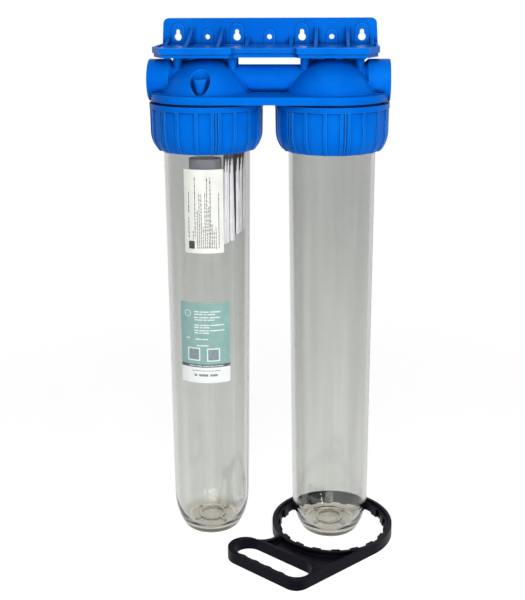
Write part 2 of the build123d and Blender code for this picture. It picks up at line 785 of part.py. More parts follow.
# Rolled part of the leaflet, one spiral strip
with BuildPart() as roll:
    roll_center_r = bowl_outer_r(roll_bottom) - bowl_wall - 2 * leaflet_gap - leaflet_thickness - roll_r
    with BuildSketch(level_plane(roll_bottom, left_x + roll_x, axis_y - roll_center_r)):
        with BuildLine():
            turns = []
            for index in range(roll_turns * roll_points_per_turn + 1):
                turn_angle = math.tau * index / roll_points_per_turn
                turn_r = roll_r - roll_thickness / 2 - roll_turn_pitch * index / roll_points_per_turn
                wide_r = turn_r + roll_half_width - roll_r
                turns.append((wide_r * math.sin(turn_angle), -turn_r * math.cos(turn_angle)))
            Spline(*turns)
        trace(line_width=roll_thickness)
    extrude(amount=roll_top - roll_bottom)
save(roll.part, "leaflet_roll")

# Wrench that turns the ring nuts
grip_angle = math.radians(wrench_angle)
wrench_plane = Plane(origin=(right_x + wrench_x, axis_y - wrench_y, level(0)),
                     x_dir=(math.cos(grip_angle), math.sin(grip_angle), 0), z_dir=(0, 0, 1))
slot_end_r = (grip_slot_far - grip_slot_near) / 2
arm_angle = math.atan2(arm_corner_v, grip_front) + math.acos(wrench_r / math.hypot(grip_front, arm_corner_v))
arm_tangent = (wrench_r * math.cos(arm_angle), wrench_r * math.sin(arm_angle))
slot_middle = (grip_slot_far + grip_slot_near) / 2
with BuildSketch(wrench_plane) as wrench_outline:
    with BuildLine():
        arm = Line(arm_tangent, (grip_front, arm_corner_v))
        front = Line(arm @ 1, (grip_front, -grip_end_v))
        across = Line(front @ 1, (neck_grip_u, -grip_end_v))
        neck = ThreePointArc(across @ 1, (neck_middle_u, -neck_middle_v), (neck_ring_u, -neck_ring_v))
        Polyline(neck @ 1, (0, 0), arm @ 0)
    make_face()
    corner = wrench_outline.vertices().sort_by(lambda v: (wrench_plane.to_local_coords(v)).X)[-2:]
    fillet(corner.sort_by(lambda v: (wrench_plane.to_local_coords(v)).Y)[-1], grip_corner_r)
    with Locations((grip_front - grip_end_r, -grip_end_v)):
        Circle(grip_end_r)
    Circle(wrench_r)
with BuildPart() as wrench:
    add(wrench_outline.sketch)
    extrude(amount=wrench_height)
    with BuildSketch(wrench_plane):
        Circle(wrench_root_r)
        tooth_reach = wrench_root_r - wrench_tooth_r
        with PolarLocations(wrench_root_r - tooth_reach / 2, rib_count):
            Rectangle(2 * tooth_reach, tooth_width, mode=Mode.SUBTRACT)
        Circle(wrench_tooth_r)
    extrude(amount=wrench_height, mode=Mode.SUBTRACT)
    # Stepped mouth above the teeth
    with BuildSketch(wrench_plane.offset(wrench_height - tooth_drop)):
        Circle(wrench_r - ring_edge)
    extrude(amount=tooth_drop, mode=Mode.SUBTRACT)
    with BuildSketch(wrench_plane):
        with Locations(Location((slot_middle, grip_slot_offset), quarter_turn)):
            SlotOverall(grip_slot_length, 2 * slot_end_r)
        with Locations((grip_slot_far + grip_bump_r - grip_bump_rise, grip_slot_offset)):
            with GridLocations(0, grip_bump_pitch, 1, grip_bump_count):
                Circle(grip_bump_r, mode=Mode.SUBTRACT)
    extrude(amount=wrench_height, mode=Mode.SUBTRACT)
    # Recess that leaves a thin web between the ring and the grip
    with BuildSketch(wrench_plane.offset(web_floor)):
        add(wrench_outline.sketch_local)
        offset(amount=-web_rim, mode=Mode.REPLACE)
        Circle(wrench_r, mode=Mode.SUBTRACT)
        with Locations((slot_middle - slot_end_r - web_rim + wrench_r, 0)):
            Rectangle(2 * wrench_r, 2 * (wrench_r + grip_front), mode=Mode.SUBTRACT)
    extrude(amount=wrench_height - web_floor, mode=Mode.SUBTRACT)
save(wrench.part, "bowl_wrench")
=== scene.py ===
# %% [markdown]
# # Twin water filter housing
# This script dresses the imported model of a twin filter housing: a blue head with two screw-on clear
# bowls, a wall bracket, brass port threads, a printed label, a leaflet packed in one bowl and a loose
# bowl wrench. Each step says what the piece is on the real object, how its surface was made and why
# it is made this way here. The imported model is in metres, so `mm` turns a size in millimetres into
# metres.

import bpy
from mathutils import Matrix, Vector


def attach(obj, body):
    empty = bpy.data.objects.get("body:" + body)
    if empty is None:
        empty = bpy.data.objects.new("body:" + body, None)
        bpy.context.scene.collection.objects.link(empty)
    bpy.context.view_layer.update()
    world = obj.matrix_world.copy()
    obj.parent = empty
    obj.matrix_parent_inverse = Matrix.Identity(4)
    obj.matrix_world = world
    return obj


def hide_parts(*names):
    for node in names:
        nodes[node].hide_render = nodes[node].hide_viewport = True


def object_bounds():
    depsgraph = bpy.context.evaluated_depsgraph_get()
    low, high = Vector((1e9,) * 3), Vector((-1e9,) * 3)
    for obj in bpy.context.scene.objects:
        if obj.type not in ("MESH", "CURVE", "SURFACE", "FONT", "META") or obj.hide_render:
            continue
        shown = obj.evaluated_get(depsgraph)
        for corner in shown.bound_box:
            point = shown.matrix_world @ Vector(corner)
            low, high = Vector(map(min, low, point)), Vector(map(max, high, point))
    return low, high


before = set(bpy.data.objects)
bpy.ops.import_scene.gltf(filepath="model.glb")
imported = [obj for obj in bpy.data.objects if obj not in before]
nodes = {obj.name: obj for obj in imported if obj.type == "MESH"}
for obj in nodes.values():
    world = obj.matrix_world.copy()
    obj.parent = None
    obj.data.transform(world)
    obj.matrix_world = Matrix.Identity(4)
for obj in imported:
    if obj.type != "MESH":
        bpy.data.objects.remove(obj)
cad_box = [list(corner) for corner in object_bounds()]

import math
import random

import bmesh
import bpy
from mathutils import Matrix, Vector

mm = 0.001
print("nodes:", len(nodes), "box:", [[round(v, 4) for v in corner] for corner in cad_box])

# %% [markdown]
# ## Colours, nodes and scales
# Screen colours are written as hex values, but Blender's sockets expect linear light, so one
# function turns every colour in the file. A second one adds a shader node, sets its values and joins
# its inputs, so each material reads as a short list of what it is made of. A third one turns a real
# feature size into a noise scale: noise repeats about once per unit, so its scale is one over the
# size.

# %% Three helpers
def linear(hex_colour):
    """Linear RGBA of an sRGB hex colour."""
    channels = [int(hex_colour[i:i + 2], 16) / 255 for i in (1, 3, 5)]
    return [c / 12.92 if c <= 0.04045 else ((c + 0.055) / 1.055) ** 2.4 for c in channels] + [1.0]


def add_node(tree, kind, settings=None, values=None, links=None, stops=None):
    """Adds one node: settings are properties, values constant inputs, links joined inputs, stops a ramp."""
    node = tree.nodes.new(kind)
    for name, value in (settings or {}).items():
        setattr(node, name, value)
    for name, value in (values or {}).items():
        node.inputs[name].default_value = value
    for name, source in (links or {}).items():
        tree.links.new(source, node.inputs[name])
    if stops:
        steps = node.color_ramp.elements
        steps[0].position, steps[1].position = stops[0][0], stops[-1][0]
        steps[0].color, steps[1].color = linear(stops[0][1]), linear(stops[-1][1])
        for position, colour in stops[1:-1]:
            steps.new(position).color = linear(colour)
    return node


def per_length(millimetres):
    """Noise scale that gives features of about this size."""
    return 1 / (millimetres * mm)


print("blue #0061CC in linear light:", [round(v, 3) for v in linear("#0061CC")])

# %% Start a material
def start_material(name, roughness, index, metallic=0.0):
    """A new material with its constant gloss values, its tree, its shader and places in metres."""
    material = bpy.data.materials.new(name)
    material.use_nodes = True
    tree = material.node_tree
    shader = tree.nodes["Principled BSDF"]
    shader.inputs["Roughness"].default_value = roughness
    shader.inputs["Metallic"].default_value = metallic
    if index:
        shader.inputs["IOR"].default_value = index
    place = add_node(tree, "ShaderNodeTexCoord").outputs["Object"]
    return material, tree, shader, place


def dress(material, *names):
    """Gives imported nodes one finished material."""
    for name in names:
        mesh = nodes[name].data
        mesh.materials.clear()
        mesh.materials.append(material)
    print(material.name, "on", ", ".join(names))


# %% [markdown]
# ## Moulded polypropylene, blue and black
# The head, bracket, ring nuts and vent screw are injection-moulded blue polypropylene, and the
# wrench is the same resin filled black. The steel mould is only lightly polished, so the skin is
# satin: soft wide highlights and no sharp mirror. Four small things are added: two belong to the
# moulding and two are painted light. The colour drifts a little over a few centimetres, where the
# melt cooled at different speeds. A fine grain breaks up the gloss. Creases are painted darker as
# painted shade: the Ambient Occlusion node finds them. Corners are rounded by the Bevel node in the
# shading, and the angle between its normal and the true one is a ready mask for a painted highlight
# that makes the edges paler.

# %% Satin moulded plastic
def moulded_plastic(name, tones, roughness, gloss_level, grain_mm, grain_depth_mm, edge_highlight_strength,
                    corner_mm=0.8, crease_mm=7):
    """Moulded plastic with cloudy colour, fine grain, painted crease shade and a painted edge highlight.

    The tones are the main colour, a lighter one, the painted crease shade, the painted edge highlight and the
    gloss.
    """
    main, light, deep, edge_highlight, sheen = tones
    material, tree, shader, place = start_material(name, roughness, 1.49)
    clouds = add_node(tree, "ShaderNodeTexNoise", values={"Scale": per_length(38), "Detail": 3.0},
                      links={"Vector": place})
    body = add_node(tree, "ShaderNodeValToRGB", links={"Fac": clouds.outputs["Fac"]},
                    stops=((0.35, main), (0.7, light)))
    # Painted highlight: where the Bevel normal turns from the true one, the colour is lightened along the
    # rounded corners.
    corner = add_node(tree, "ShaderNodeBevel", {"samples": 6}, {"Radius": corner_mm * mm})
    true_normal = add_node(tree, "ShaderNodeNewGeometry").outputs["Normal"]
    facing = add_node(tree, "ShaderNodeVectorMath", {"operation": "DOT_PRODUCT"},
                      links={0: corner.outputs["Normal"], 1: true_normal})
    edge = add_node(tree, "ShaderNodeMapRange", links={"Value": facing.outputs["Value"]},
                    values={"From Min": 0.995, "From Max": 0.86, "To Max": edge_highlight_strength})
    # Painted shade: the occlusion mask darkens the colour towards the deep tone in creases.
    crease = add_node(tree, "ShaderNodeAmbientOcclusion", {"samples": 8}, {"Distance": crease_mm * mm})
    shade = add_node(tree, "ShaderNodeMapRange", values={"From Min": 0.95, "From Max": 0.45},
                     links={"Value": crease.outputs["AO"]})
    crease_shaded = add_node(tree, "ShaderNodeMixRGB", values={"Color2": linear(deep)},
                        links={"Fac": shade.outputs["Result"], "Color1": body.outputs["Color"]})
    colour = add_node(tree, "ShaderNodeMixRGB", values={"Color2": linear(edge_highlight)},
                      links={"Fac": edge.outputs["Result"], "Color1": crease_shaded.outputs["Color"]})
    grain = add_node(tree, "ShaderNodeTexNoise", values={"Scale": per_length(grain_mm), "Detail": 2.0},
                     links={"Vector": place})
    bump = add_node(tree, "ShaderNodeBump", values={"Strength": 0.35, "Distance": grain_depth_mm * mm},
                    links={"Height": grain.outputs["Fac"], "Normal": corner.outputs["Normal"]})
    gloss = add_node(tree, "ShaderNodeMapRange", links={"Value": clouds.outputs["Fac"]},
                     values={"To Min": roughness - 0.05, "To Max": roughness + 0.07})
    shader.inputs["Specular IOR Level"].default_value = gloss_level
    shader.inputs["Specular Tint"].default_value = linear(sheen)
    tree.links.new(colour.outputs["Color"], shader.inputs["Base Color"])
    tree.links.new(gloss.outputs["Result"], shader.inputs["Roughness"])
    tree.links.new(bump.outputs["Normal"], shader.inputs["Normal"])
    return material


# The real grain is about 0.1 mm, too fine to show, so it is drawn at 1.2 mm and very shallow.
# Of these tones, #00307F is painted shade in the creases and #2E9BFF a painted highlight on the edges.
blue_tones = ("#0061CC", "#046CD6", "#00307F", "#2E9BFF", "#3FC4FF")
blue_polypropylene = moulded_plastic("moulded_blue_polypropylene", blue_tones, roughness=0.34,
                                     gloss_level=0.08, grain_mm=1.2, grain_depth_mm=0.05, edge_highlight_strength=0.9)
dress(blue_polypropylene, "twin_head", "wall_bracket", "left_ring_nut", "right_ring_nut", "vent_screw")

# %% Black moulding for the wrench
# The same grain, drawn a little finer and deeper, because the black skin hides it more.
# Here #020203 is painted shade in the creases and #34323D a painted highlight on the edges.
black_tones = ("#06050A", "#0A090F", "#020203", "#34323D", "#C8C4FF")
black_polypropylene = moulded_plastic("moulded_black_polypropylene", black_tones, roughness=0.4,
                                      gloss_level=0.1, grain_mm=0.9, grain_depth_mm=0.08, edge_highlight_strength=0.6)
dress(black_polypropylene, "bowl_wrench")

# %% [markdown]
# ## Clear bowls
# The bowls are injection-moulded in clear styrene acrylonitrile, a stiff glassy plastic with a faint
# warm grey body. Its refraction bends the white studio into bright and dark upright lines near the
# sides. The body colour sits on the shader's base colour, which tints light each time it passes a
# wall: it is warmest at the foot, clearest low down and a little greyer towards the nuts. A little
# absorption in the volume darkens the long way through the rims and the foot. Melt that flows up the
# long mould leaves faint upright streaks, drawn here as noise stretched twenty times along the
# height.

# %% Clear styrene acrylonitrile
def clear_plastic(name, foot, low, high, depth_colour, density):
    """Clear moulded plastic with a grey body, upright flow streaks and a faintly wavy wall."""
    material, tree, shader, place = start_material(name, 0.02, 1.52)
    upright = add_node(tree, "ShaderNodeMapping", {"vector_type": "POINT"}, {"Scale": (1, 1, 0.05)},
                       {"Vector": place})
    streaks = add_node(tree, "ShaderNodeTexNoise", values={"Scale": per_length(14), "Detail": 2.0},
                       links={"Vector": upright.outputs["Vector"]})
    flow = add_node(tree, "ShaderNodeTexNoise", values={"Scale": per_length(55), "Detail": 1.0},
                    links={"Vector": place})
    bump = add_node(tree, "ShaderNodeBump", values={"Strength": 0.25, "Distance": 0.35 * mm},
                    links={"Height": flow.outputs["Fac"]})
    level = add_node(tree, "ShaderNodeSeparateXYZ", links={"Vector": place})
    foot_level, nut_level = -0.565, -0.125
    share = add_node(tree, "ShaderNodeMapRange", values={"From Min": foot_level, "From Max": nut_level},
                     links={"Value": level.outputs["Z"]})
    body = add_node(tree, "ShaderNodeValToRGB", links={"Fac": share.outputs["Result"]},
                    stops=((0.012, foot), (0.03, low), (0.3, low), (0.9, high)))
    streak_tone = add_node(tree, "ShaderNodeValToRGB", links={"Fac": streaks.outputs["Fac"]},
                           stops=((0.35, "#F3F3F3"), (0.7, "#FFFFFF")))
    tint = add_node(tree, "ShaderNodeMixRGB", {"blend_type": "MULTIPLY"}, {"Fac": 1.0},
                    {"Color1": body.outputs["Color"], "Color2": streak_tone.outputs["Color"]})
    tree.links.new(tint.outputs["Color"], shader.inputs["Base Color"])
    tree.links.new(bump.outputs["Normal"], shader.inputs["Normal"])
    shader.inputs["Transmission Weight"].default_value = 1.0
    # Lamplight passes the wall without being bent, or the leaflet inside would stay dark.
    passing = add_node(tree, "ShaderNodeBsdfTransparent", values={"Color": linear("#FDFDFC")})
    lamplight = add_node(tree, "ShaderNodeLightPath").outputs["Is Shadow Ray"]
    through = add_node(tree, "ShaderNodeMixShader",
                       links={0: lamplight, 1: shader.outputs["BSDF"], 2: passing.outputs["BSDF"]})
    tree.links.new(through.outputs["Shader"], tree.nodes["Material Output"].inputs["Surface"])
    depth = add_node(tree, "ShaderNodeVolumeAbsorption",
                     values={"Color": linear(depth_colour), "Density": density})
    tree.links.new(depth.outputs["Volume"], tree.nodes["Material Output"].inputs["Volume"])
    return material


clear_san = clear_plastic("moulded_clear_styrene_acrylonitrile", foot="#D2CCBF", low="#F2F3F0",
                          high="#DFE0DE", depth_colour="#8E908B", density=40.0)
dress(clear_san, "left_bowl", "right_bowl")

# %% [markdown]
# ## Turned brass
# The port threads are cut into turned brass sleeves that the head is moulded around. Turning leaves
# fine rings round the axis, and the thread itself has a pitch of 2.309 mm. A wave along X, the axis
# of both ports, gives the thread as bump, and a much finer one gives the tool marks. Brass is a
# metal, so its colour lies in the reflection: full metallic, and the default index.

# %% Brass with a thread
def threaded_brass(name, deep, bright, thread_pitch_mm, tool_mark_mm):
    """Turned brass with thread ridges and tool marks round the X axis."""
    material, tree, shader, place = start_material(name, 0.28, None, 1.0)
    patches = add_node(tree, "ShaderNodeTexNoise", values={"Scale": per_length(9), "Detail": 4.0},
                       links={"Vector": place})
    # At a scale of one, a wave repeats 20 / tau times in a metre.
    wave_share = math.tau / 20
    thread = add_node(tree, "ShaderNodeTexWave", {"bands_direction": "X"},
                      {"Scale": wave_share * per_length(thread_pitch_mm)}, {"Vector": place})
    marks = add_node(tree, "ShaderNodeTexWave", {"bands_direction": "X"},
                     {"Scale": wave_share * per_length(tool_mark_mm), "Distortion": 0.6}, {"Vector": place})
    ridges = add_node(tree, "ShaderNodeBump", values={"Strength": 0.9, "Distance": 0.8 * mm},
                      links={"Height": thread.outputs["Fac"]})
    fine = add_node(tree, "ShaderNodeBump", values={"Strength": 0.25, "Distance": 0.05 * mm},
                    links={"Height": marks.outputs["Fac"], "Normal": ridges.outputs["Normal"]})
    tone = add_node(tree, "ShaderNodeValToRGB", links={"Fac": patches.outputs["Fac"]},
                    stops=((0.35, deep), (0.7, bright)))
    tree.links.new(tone.outputs["Color"], shader.inputs["Base Color"])
    tree.links.new(fine.outputs["Normal"], shader.inputs["Normal"])
    return material


# Real tool marks are about 0.1 mm apart, too fine to show, so they are drawn 0.5 mm apart.
turned_brass = threaded_brass("turned_brass", "#B98F45", "#E2BE74", thread_pitch_mm=2.309,
                              tool_mark_mm=0.5)
dress(turned_brass, "inlet_thread_insert", "outlet_thread_insert")

# %% [markdown]
# ## Zinc-plated steel and nitrile rubber
# The bracket's eight screws are pressed steel with a bright zinc plating, which is pale, slightly
# blue and a little cloudy where the bath left it uneven. The seals are moulded nitrile rubber: black,
# matt, with a faint bloom of grey powder on the skin. They hide inside until the housing is taken
# apart, and are finished all the same. Both skins are made alike, from patches of tone and gloss with
# a fine grain, so one function serves them and the inks and papers further on.

# %% Plated steel and rubber
def cloudy_skin(name, dark, light, roughness, patch_mm, grain_mm, depth_mm, index=1.5, metallic=0.0):
    """A skin with cloudy colour and gloss and a fine uneven grain, depth_mm deep."""
    material, tree, shader, place = start_material(name, roughness, index, metallic)
    patches = add_node(tree, "ShaderNodeTexNoise", values={"Scale": per_length(patch_mm), "Detail": 4.0},
                       links={"Vector": place})
    grain = add_node(tree, "ShaderNodeTexNoise", values={"Scale": per_length(grain_mm), "Detail": 2.0},
                     links={"Vector": place})
    bump = add_node(tree, "ShaderNodeBump", values={"Strength": 0.4, "Distance": depth_mm * mm},
                    links={"Height": grain.outputs["Fac"]})
    gloss = add_node(tree, "ShaderNodeMapRange", links={"Value": patches.outputs["Fac"]},
                     values={"To Min": roughness - 0.06, "To Max": roughness + 0.08})
    tone = add_node(tree, "ShaderNodeValToRGB", links={"Fac": patches.outputs["Fac"]},
                    stops=((0.35, dark), (0.7, light)))
    tree.links.new(tone.outputs["Color"], shader.inputs["Base Color"])
    tree.links.new(gloss.outputs["Result"], shader.inputs["Roughness"])
    tree.links.new(bump.outputs["Normal"], shader.inputs["Normal"])
    return material


zinc_plated_steel = cloudy_skin("zinc_plated_steel", "#B4B8BD", "#D3D6DA", roughness=0.3,
                                patch_mm=2.5, grain_mm=0.3, depth_mm=0.02, index=None, metallic=1.0)
nitrile_rubber = cloudy_skin("moulded_nitrile_rubber", "#121212", "#1E1E1E", roughness=0.55,
                             patch_mm=6, grain_mm=0.4, depth_mm=0.03, index=1.52)
dress(zinc_plated_steel, "bracket_screws")
dress(nitrile_rubber, "left_bowl_o_ring", "right_bowl_o_ring", "vent_o_ring")

# %% [markdown]
# ## Pieces that lie on the bowl's wall
# The label is a printed film on the outside of the left bowl, and the leaflet lies against its inside.
# Both follow the tapered wall, so one function lays a patch between two sideways places and two
# heights onto a cone, at a set distance from the bowl's outer face. Print is modelled as very thin
# patches of ink on the film. A patch could also be an image, but ink patches stay sharp at any
# distance and keep their own finish.

# %% Lay patches on the tapered wall
head_middle_mm, half_spacing_mm, wall_distance_mm = 3.2, 69.0, 70.0
bowl_axis = Vector(((head_middle_mm - half_spacing_mm) * mm, -wall_distance_mm * mm))
hole_height_mm = 565.0
narrow_radius_mm, widening_mm = 43.4, 4.5
taper_start_mm, taper_length_mm = 39.0, 414.0
bowl_wall_mm = 4.0


def wall_radius(height_mm):
    """Outer radius of the left bowl at a height above its foot, in millimetres."""
    return narrow_radius_mm + widening_mm * (height_mm - taper_start_mm) / taper_length_mm


def wall_point(across_mm, height_mm, offset_mm):
    """Point at a sideways distance along the wall from straight ahead, in metres."""
    radius = wall_radius(height_mm) + offset_mm
    angle = across_mm / wall_radius(height_mm)
    return Vector((bowl_axis.x + radius * math.sin(angle) * mm, bowl_axis.y - radius * math.cos(angle) * mm,
                   (height_mm - hole_height_mm) * mm))


def lay_patch(mesh, left_mm, right_mm, low_mm, high_mm, offset_mm, step_mm=2.5):
    """Adds one curved patch to a bmesh, facing outwards."""
    columns = max(1, math.ceil((right_mm - left_mm) / step_mm))
    places = [left_mm + (right_mm - left_mm) * i / columns for i in range(columns + 1)]
    low = [mesh.verts.new(wall_point(place, low_mm, offset_mm)) for place in places]
    high = [mesh.verts.new(wall_point(place, high_mm, offset_mm)) for place in places]
    for i in range(columns):
        mesh.faces.new((low[i], low[i + 1], high[i + 1], high[i]))


def finish_piece(name, mesh, material, body):
    """Turns a bmesh into a piece that rides on a body."""
    data = bpy.data.meshes.new(name)
    mesh.to_mesh(data)
    mesh.free()
    for face in data.polygons:
        face.use_smooth = True
    data.materials.append(material)
    piece = bpy.data.objects.new(name, data)
    bpy.context.scene.collection.objects.link(piece)
    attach(piece, body)
    print(name + ":", len(data.polygons), "faces")
    return piece


label_middle_mm, leaflet_middle_mm = 235.0, 390.0
print("bowl radius at the label:", round(wall_radius(label_middle_mm), 2), "mm")
print("bowl radius at the leaflet:", round(wall_radius(leaflet_middle_mm), 2), "mm")

# %% [markdown]
# ## Label film
# The label is a polypropylene film, printed in a dull teal with a dark band and a white foot, and
# laminated with a thin gloss. The ground colours change at fixed heights, so they come from the
# height in the shader. The fine cloudiness is the uneven ink, and the bump is the slight orange peel
# of the laminate.

# %% Printed film
def printed_film(name, bands, fade):
    """Film whose ground colour follows the height: bands are pairs of a height in mm and a colour."""
    material, tree, shader, place = start_material(name, 0.32, 1.5)
    height = add_node(tree, "ShaderNodeSeparateXYZ", links={"Vector": place})
    low, high = bands[0][0], bands[-1][0]
    share = add_node(tree, "ShaderNodeMapRange", values={"From Min": (low - hole_height_mm) * mm,
                                                         "From Max": (high - hole_height_mm) * mm},
                     links={"Value": height.outputs["Z"]})
    ground = add_node(tree, "ShaderNodeValToRGB", links={"Fac": share.outputs["Result"]},
                      stops=[((top - low) / (high - low), colour) for top, colour in bands])
    ground.color_ramp.interpolation = "CONSTANT"
    ink = add_node(tree, "ShaderNodeTexNoise", values={"Scale": per_length(7), "Detail": 5.0},
                   links={"Vector": place})
    strength = add_node(tree, "ShaderNodeMapRange", values={"From Min": 0.3, "From Max": 0.7, "To Max": fade},
                        links={"Value": ink.outputs["Fac"]})
    colour = add_node(tree, "ShaderNodeMixRGB", values={"Color2": linear("#D9E3E2")},
                      links={"Fac": strength.outputs["Result"], "Color1": ground.outputs["Color"]})
    peel = add_node(tree, "ShaderNodeTexNoise", values={"Scale": per_length(1.6)}, links={"Vector": place})
    bump = add_node(tree, "ShaderNodeBump", values={"Strength": 0.2, "Distance": 0.03 * mm},
                    links={"Height": peel.outputs["Fac"]})
    tree.links.new(colour.outputs["Color"], shader.inputs["Base Color"])
    tree.links.new(bump.outputs["Normal"], shader.inputs["Normal"])
    return material


label_ground = ((188.4, "#EEF0EF"), (206.4, "#3A494E"), (209.9, "#80A7A3"), (281.0, "#80A7A3"))
label_film = printed_film("printed_polypropylene_film", label_ground, 0.12)
dress(label_film, "bowl_label")

# %% [markdown]
# ## Print on the label
# Each printed line is a row of plain bars of uneven length, which gives the label its layout and its
# grey value. Two plain framed squares fill the foot of the teal field, and a ring marks the first
# block of lines. Thin patches of ink keep a crisp edge that a noise pattern couldn't give.

# %% Rows of bars
def bar_row(mesh, left_mm, right_mm, middle_mm, thick_mm, shares, offset_mm):
    """Adds a row of bars that divide its width by a list of shares."""
    gap_mm = thick_mm * 0.8
    unit = (right_mm - left_mm - gap_mm * (len(shares) - 1)) / sum(shares)
    low_mm, high_mm = middle_mm - thick_mm / 2, middle_mm + thick_mm / 2
    start = left_mm
    for share in shares:
        lay_patch(mesh, start, start + share * unit, low_mm, high_mm, offset_mm)
        start += share * unit + gap_mm


ink_offset_mm = 0.29
row_thickness_mm = 1.3
# Each row: left and right end, height above the foot, and the shares of its bars.
label_rows = [(-11.7, 17.6, 270.9, (4, 7, 8)), (-11.7, 11.5, 268.0, (7, 2, 6)),
              (-11.7, 17.0, 264.4, (3, 7, 8)), (-11.7, 11.0, 261.6, (6, 2, 5)),
              (-11.7, 22.0, 255.6, (4, 7, 11)), (-11.7, 5.5, 252.9, (4, 2, 5)),
              (-11.7, 22.0, 249.4, (3, 7, 11)), (-11.7, 4.5, 246.6, (3, 2, 5)),
              (-10.5, 3.6, 239.4, (4, 4)), (-9.3, 4.2, 232.0, (9,)), (-21.8, -17.0, 240.2, (4,))]
white_print = bmesh.new()
for left, right, middle, shares in label_rows:
    bar_row(white_print, left, right, middle, row_thickness_mm, shares, ink_offset_mm)
bar_row(white_print, -19.0, 20.0, 208.2, 0.9, (8, 6, 7, 4, 9), ink_offset_mm)
frame_width_mm, frame_height_mm = 14.6, 15.2
for left, low in ((-20.0, 214.2), (2.0, 213.6)):
    lay_patch(white_print, left, left + frame_width_mm, low, low + frame_height_mm, ink_offset_mm)
ring_across_mm, ring_height_mm, ring_inner_mm, ring_outer_mm, ring_steps = -19.4, 268.6, 3.2, 3.9, 24
for step in range(ring_steps):
    turn = math.tau * step / ring_steps
    ahead = math.tau * (step + 1) / ring_steps
    corners = ((ring_inner_mm, turn), (ring_outer_mm, turn), (ring_outer_mm, ahead), (ring_inner_mm, ahead))
    ring = [wall_point(ring_across_mm + r * math.cos(t), ring_height_mm + r * math.sin(t), ink_offset_mm)
            for r, t in corners]
    white_print.faces.new([white_print.verts.new(point) for point in ring])
white_ink = cloudy_skin("screen_printed_white_ink", "#D5E2E1", "#E6EEED", roughness=0.4,
                        patch_mm=3, grain_mm=0.6, depth_mm=0.01)
finish_piece("label_white_print", white_print, white_ink, "left_bowl_group")

# %% Grey print
grey_print = bmesh.new()
field_width_mm, field_height_mm = 11.8, 12.4
second_coat_offset_mm = ink_offset_mm + 0.03
for left, low in ((-18.6, 215.6), (3.4, 215.0)):
    lay_patch(grey_print, left, left + field_width_mm, low, low + field_height_mm, second_coat_offset_mm)
bar_row(grey_print, -15.0, 17.0, 202.6, 0.8, (9, 4, 8, 6), ink_offset_mm)
bar_row(grey_print, -12.5, 13.5, 197.4, 2.6, (3, 10, 8), ink_offset_mm)
grey_ink = cloudy_skin("screen_printed_grey_ink", "#74878C", "#8A9A9E", roughness=0.4,
                       patch_mm=3, grain_mm=0.6, depth_mm=0.01)
finish_piece("label_grey_print", grey_print, grey_ink, "left_bowl_group")

# %% [markdown]
# ## Paper
# The leaflet is thin coated paper. Paper is matt, never quite even in tone, and its fibres give it a
# soft tooth. Real fibres are finer than a pixel, so they are drawn about a millimetre long. The
# rolled part is printed grey on its outer side.

# %% Coated paper
paper_index, fibre_mm, tooth_mm = 1.45, 0.9, 0.03
coated_paper = cloudy_skin("coated_white_paper", "#F2F2F0", "#FCFCFA", roughness=0.62,
                           patch_mm=18, grain_mm=fibre_mm, depth_mm=tooth_mm, index=paper_index)
grey_paper = cloudy_skin("grey_printed_paper", "#5A5C68", "#74767F", roughness=0.5,
                         patch_mm=22, grain_mm=fibre_mm, depth_mm=tooth_mm, index=paper_index)
dress(coated_paper, "leaflet_sheet")
dress(grey_paper, "leaflet_roll")

# %% [markdown]
# ## Print on the leaflet
# The sheet stands on its side, so its printed lines run upwards. Each line is again a row of plain
# bars, laid just outside the paper and still inside the bowl's wall. The lengths of the bars and
# gaps come from a seeded random draw, which looks less regular than a formula and still gives the
# same sheet each time. A plain dark square stands in the corner.

# %% Upright rows of bars
# Each line: its place across the sheet, and the heights of its lower and upper end.
printed_lines = ((-17.3, 354, 377), (-17.3, 382, 404), (-12.0, 352, 362), (-9.7, 355, 421),
                 (-6.9, 342, 384), (-4.6, 342, 403), (-2.3, 342, 403), (0.0, 342, 366),
                 (2.2, 342, 404), (4.4, 342, 421), (6.7, 342, 388), (8.3, 343, 420),
                 (10.2, 342, 369), (12.4, 342, 361), (14.8, 341, 366), (18.2, 342, 404))
draw = random.Random(11)
half_line_mm = 0.5
leaflet_ink_offset_mm = -4.28
leaflet_print = bmesh.new()
for across, low, high in printed_lines:
    start = low
    while start < high:
        length = draw.uniform(1.4, 4.0)
        lay_patch(leaflet_print, across - half_line_mm, across + half_line_mm, start,
                  min(start + length, high), leaflet_ink_offset_mm)
        start += length + draw.uniform(0.9, 1.5)
lay_patch(leaflet_print, -17.6, -10.6, 341.4, 350.2, leaflet_ink_offset_mm)
black_ink = cloudy_skin("offset_printed_black_ink", "#08080A", "#1B1A1F", roughness=0.6,
                        patch_mm=3, grain_mm=0.6, depth_mm=0.01, index=paper_index)
finish_piece("leaflet_print", leaflet_print, black_ink, "left_bowl_group")

# %% [markdown]
# ## Folded pages
# Beside the sheet the other pages of the leaflet stand on end, and what shows is their folds: pale
# strips that spread towards the bottom, with dark pages between them. The dark colour is partly the
# print on the pages and partly painted shade in the narrow gaps between the folds. Each fold is a
# narrow U seen from above, with its round back against the bowl's wall and two legs that point
# inwards. Its left and right edges are given at the bottom and at the top, and the strip swells
# smoothly from one to the other. Near the top the pale back ends in a point between the dark pages,
# and above it the back takes the same dark print and painted shade. A cloth simulation would need the
# pages to be pushed into the bowl and would give the same fan.

